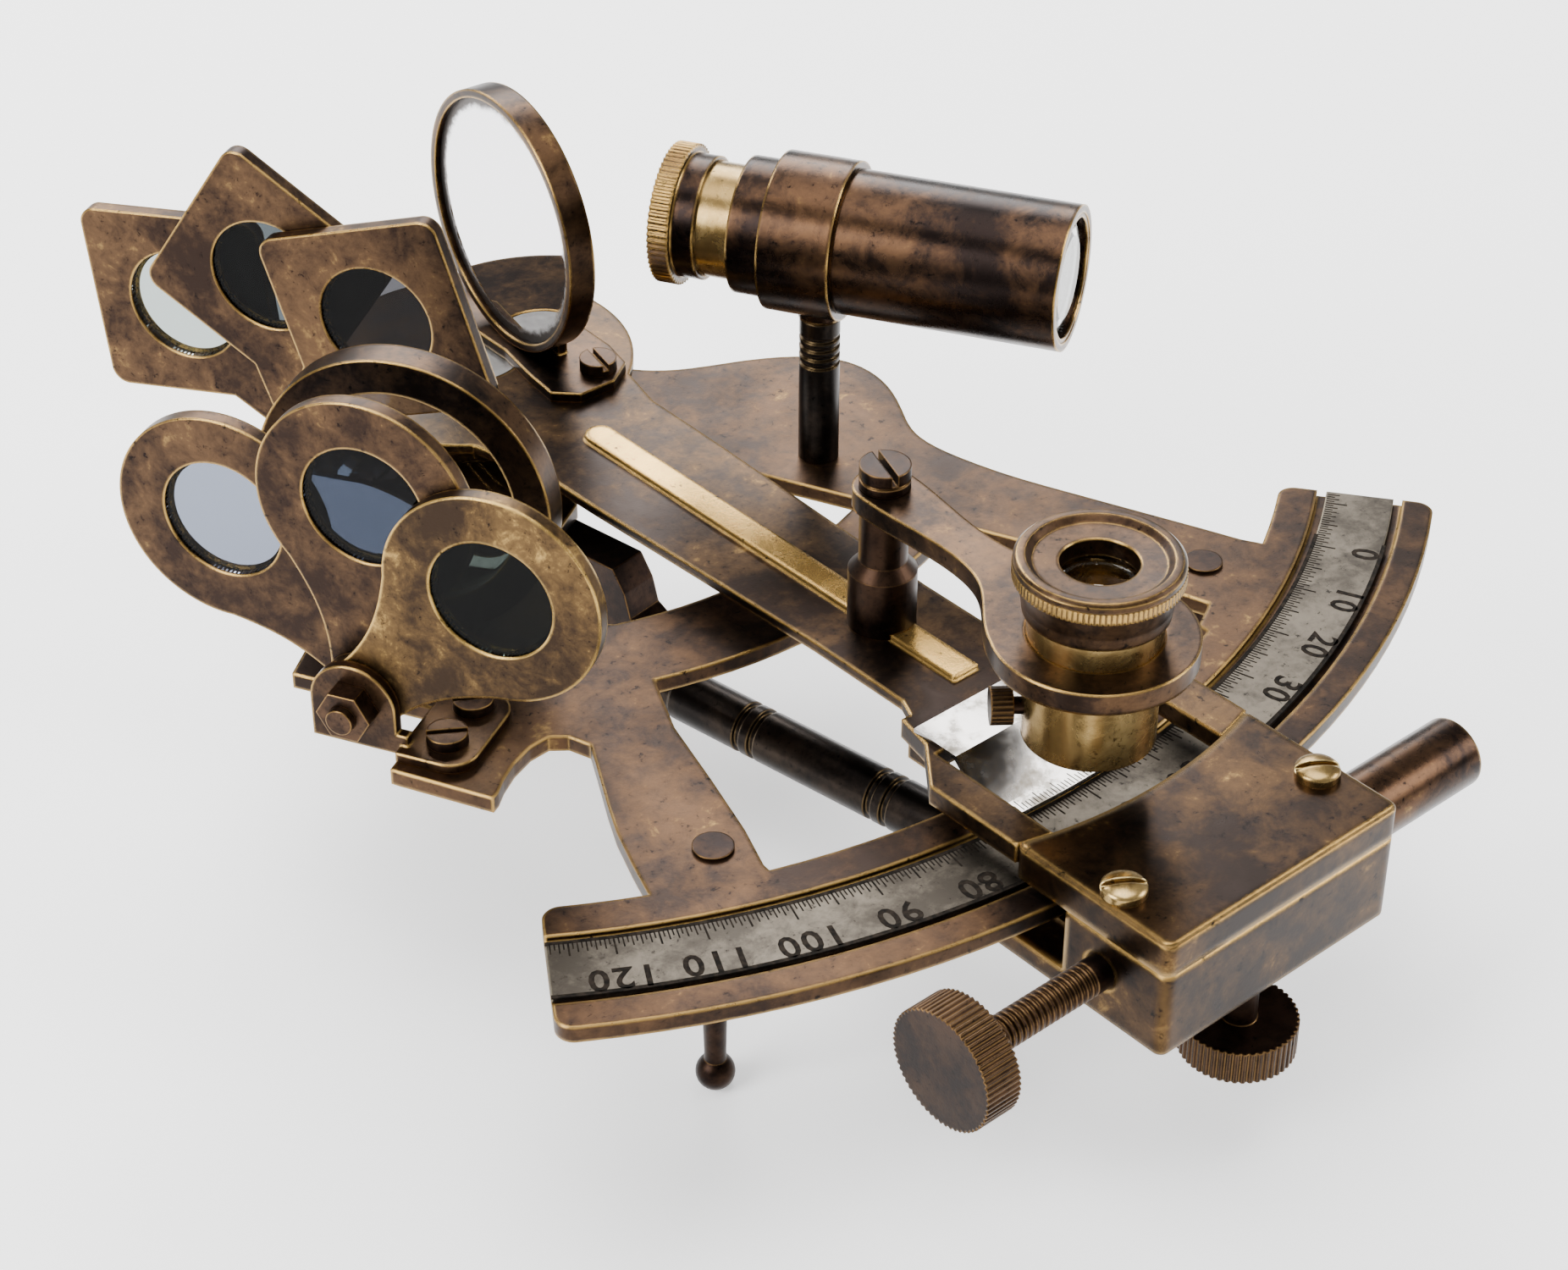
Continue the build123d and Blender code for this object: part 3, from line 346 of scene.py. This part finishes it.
# ---- Feet, hub bearing and pivot -----------------------------------------------------------------
# Three turned feet with ball ends, riveted through the plate; a raised brass bearing on the hub and
# the steel pin that the index arm turns on.
black_patina = patina(
    "blackened_brass", (0.010, 0.008, 0.007), (0.032, 0.023, 0.017), (0.26, 0.17, 0.07),
    wear=0.25, edge=0.0005, rough=0.28, patch=120.0, pits=0.08)
foot_patina = patina(
    "foot_brown", (0.009, 0.005, 0.004), (0.036, 0.019, 0.011), (0.30, 0.17, 0.06),
    wear=0.30, edge=0.0004, rough=0.32, patch=140.0, pits=0.10)
dress(foot_patina, "limb_and_hub_feet")
dress(plate_patina, "hub_bearing")
plain_steel, steel_start, steel_place = new_finish("drawn_steel")
steel_grain = steel_place.noise(700.0, 3.0)
close_finish(steel_start, {"Base Color": steel_grain.blend((0.30, 0.29, 0.28, 1), (0.48, 0.47, 0.45, 1)),
                           "Metallic": 1.0, "Roughness": 0.25 + 0.2 * steel_grain})
dress(plain_steel, "pivot_pin", "barrel_spring", "spring_plunger")

# ---- Handle under the frame ----------------------------------------------------------------------
# A turned rod with four cut rings, chemically blackened, held by two shaped cast brackets that are
# screwed up against the underside of the plate.
dress(black_patina, "handle_rod")
dress(foot_patina, "handle_brackets")

# ---- Telescope post ------------------------------------------------------------------------------
# A blackened post screwed into the swelling of the frame, threaded near its top.
dress(black_patina, "telescope_post")

# ---- Horizon glass -------------------------------------------------------------------------------
# A deep brass ring on a small screwed base holds two half discs of glass, the upper one clear and the
# lower one silvered, kept in by a sprung wire ring.
ring_patina = patina(
    "ring_patina", dark_brown, (0.080, 0.043, 0.021), rubbed_gold,
    wear=0.55, edge=0.0007, rough=0.28, patch=120.0, pits=0.10)
dress(ring_patina, "horizon_ring", "horizon_base", "horizon_retaining_ring")


def glass(name, colour, rough=0.0, bend=1.5):
    material, start, place = new_finish(name)
    close_finish(start, {"Base Color": colour + (1,), "Roughness": rough, "IOR": bend,
                         "Transmission Weight": 1.0})
    return material


dress(glass("window_glass", (0.93, 0.97, 0.95)), "horizon_glass_clear")

mirror_silver, silver_start, silver_place = new_finish("silvering")
blemish = silver_place.noise(1400.0, 4.0, 0.7)
clean = blemish.between(0.30, 0.36)
close_finish(silver_start, {"Base Color": clean.blend((0.25, 0.24, 0.23, 1), (0.93, 0.92, 0.93, 1)),
                            "Metallic": 1.0, "Roughness": 0.22 - 0.2 * clean})
dress(mirror_silver, "horizon_glass_silvered")

# ---- Shade brackets and their fasteners ----------------------------------------------------------
# Bent brass brackets with slotted screws into the frame; each stack of shades turns on one bolt with
# thin washers between, closed by a hexagon nut.
dress(ring_patina, "shade_brackets")
screw_patina = patina(
    "screw_brown", (0.014, 0.008, 0.006), (0.066, 0.036, 0.020), (0.40, 0.23, 0.07),
    wear=0.4, edge=0.0004, rough=0.32, patch=200.0, pits=0.08)
dress(screw_patina, "shade_bolts", "shade_nuts", "shade_washers", "frame_screws")

# ---- Shades --------------------------------------------------------------------------------------
# Six flat brass frames, three round for the horizon and three square for the index mirror, each with a
# disc of dark neutral glass burnished into it.
shade_patina = patina(
    "shade_patina", (0.018, 0.010, 0.007), (0.085, 0.047, 0.023), rubbed_gold,
    wear=0.7, edge=0.0007, rough=0.33, patch=110.0, pits=0.14)
round_patina = patina(
    "round_shade_patina", (0.024, 0.014, 0.008), (0.120, 0.070, 0.027), (0.66, 0.42, 0.12),
    wear=0.9, edge=0.0008, rough=0.33, patch=120.0, pits=0.14)
smoke = {"round_shade_glass_a": (0.03, 0.04, 0.035), "round_shade_glass_b": (0.028, 0.036, 0.055),
         "round_shade_glass_c": (0.17, 0.19, 0.24), "square_shade_glass_a": (0.05, 0.05, 0.055),
         "square_shade_glass_b": (0.05, 0.06, 0.065), "square_shade_glass_c": (0.32, 0.36, 0.35)}
for letter in "abc":
    dress(round_patina if letter == "a" else shade_patina, "round_shade_" + letter)
    dress(shade_patina, "square_shade_" + letter)
for name, colour in smoke.items():
    dress(glass("tint_" + name, colour, 0.02, 1.14), name)

# ---- Telescope -----------------------------------------------------------------------------------
# A short brass telescope screwed through a heavy ring that turns on the post; the eye end slides out on
# a bright draw tube with a knurled cap.
tube_patina = patina(
    "tube_patina", (0.011, 0.007, 0.006), (0.070, 0.036, 0.018), rubbed_gold,
    wear=0.55, edge=0.0007, rough=0.22, patch=100.0, pits=0.05)
dress(tube_patina, "telescope_holder", "telescope_tube", "objective_rings", "eyepiece_cell")
bright_brass = patina(
    "draw_brass", (0.24, 0.155, 0.055), (0.50, 0.35, 0.14), (0.78, 0.60, 0.28),
    wear=0.6, edge=0.0004, rough=0.20, patch=90.0, pits=0.04)
dress(bright_brass, "draw_tube")
lens_glass = glass("lens_glass", (0.97, 0.99, 0.98))
dress(lens_glass, "objective_lens", "eye_lens")

# ---- Index arm and vernier -----------------------------------------------------------------------
# A long tapered arm of sheet brass with a rib down its middle, the rib's top painted gold by height as rubbed
# wear and as a painted highlight, and an open end frame over the limb; the bent vernier plate of polished
# nickel silver is riveted inside the frame.
rib_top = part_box("index_arm")[1].z
# The rib top is painted gold by height: rubbed wear and a painted highlight.
arm_patina = patina(
    "arm_patina", dark_brown, (0.080, 0.044, 0.019), rubbed_gold,
    wear=0.7, edge=0.0009, rough=0.30, patch=110.0, pits=0.10,
    rub_and_highlight_heights=(rib_top - 0.0007, rib_top - 0.0002))
dress(arm_patina, "index_arm", "vernier_rivets")
nickel, nickel_start, nickel_place = new_finish("nickel_silver")
stain = nickel_place.noise(260.0, 4.0, 0.6).between(0.42, 0.72)
close_finish(nickel_start, {"Base Color": stain.blend((0.40, 0.38, 0.36, 1), (0.17, 0.15, 0.12, 1)),
                            "Metallic": 1.0, "Roughness": 0.18 + 0.18 * stain})
dress(nickel, "vernier_plate")
arm_direction = math.radians(-91.5)
vernier_edge = 0.13355
vernier_face = limb_face + 0.00105
vernier_step = math.radians(0.28)
vernier_lines = []
for step in range(-20, 21):
    reach = 0.0022 if step % 5 == 0 else 0.0014
    fine_line(vernier_lines, arm_direction + vernier_step * step, vernier_edge - reach, vernier_edge, 0.00007,
              vernier_face + proud)
inlay("vernier_marks", vernier_lines, 0.0002, "arm", cut_black)

# ---- Index mirror --------------------------------------------------------------------------------
# A round silvered glass in a turned brass rim, standing on a base screwed to the arm over its pivot.
dress(ring_patina, "index_mirror_rim", "index_mirror_base")
dress(screw_patina, "index_mirror_screws")
glass_low, glass_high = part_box("index_mirror_glass")
glass_middle = (glass_low + glass_high) / 2
glass_middle_reach = (glass_high.z - glass_low.z) / 2
aged_mirror, aged_start, aged_place = new_finish("aged_silvering_mirror")
from_middle = aged_start.node("ShaderNodeVectorMath", {"operation": "LENGTH"},
                              {0: aged_place - tuple(glass_middle)}, "Value")
flaking = from_middle + 0.0022 * aged_place.noise(420.0, 5.0, 0.7)
sound = 1 - flaking.between(glass_middle_reach - 0.0012, glass_middle_reach + 0.0002)
close_finish(aged_start, {"Base Color": sound.blend((0.10, 0.09, 0.085, 1), (0.93, 0.92, 0.94, 1)),
                          "Metallic": 1.0, "Roughness": 0.45 - 0.43 * sound})
dress(aged_mirror, "index_mirror_glass")

# ---- Clamp box and slow-motion screw -------------------------------------------------------------
# A cast box under a thick screwed cover slides along the limb; inside is the split clamp block, moved by
# the tangent screw against a spring in the barrel and locked by the thumbscrew below.
box_patina = patina(
    "box_patina", (0.012, 0.007, 0.005), (0.070, 0.037, 0.015), rubbed_gold,
    wear=0.8, edge=0.0017, rough=0.26, patch=70.0, pits=0.06)
dress(box_patina, "clamp_box", "clamp_box_cover")
dress(tube_patina, "spring_barrel")
dress(foot_patina, "clamp_block", "clamp_screw", "tangent_screw")
dress(bright_brass, "cover_screws")

# ---- Reader --------------------------------------------------------------------------------------
# A magnifier on a swinging arm over the vernier: bright sliding tube, knurled eyepiece, and a slotted
# screw on the post that it swings round.
dress(ring_patina, "reader_arm", "reader_eyepiece")
dress(foot_patina, "reader_post", "reader_pivot_screw")
dress(bright_brass, "reader_tube")
dress(foot_patina, "reader_set_screw")
dress(lens_glass, "reader_lens")
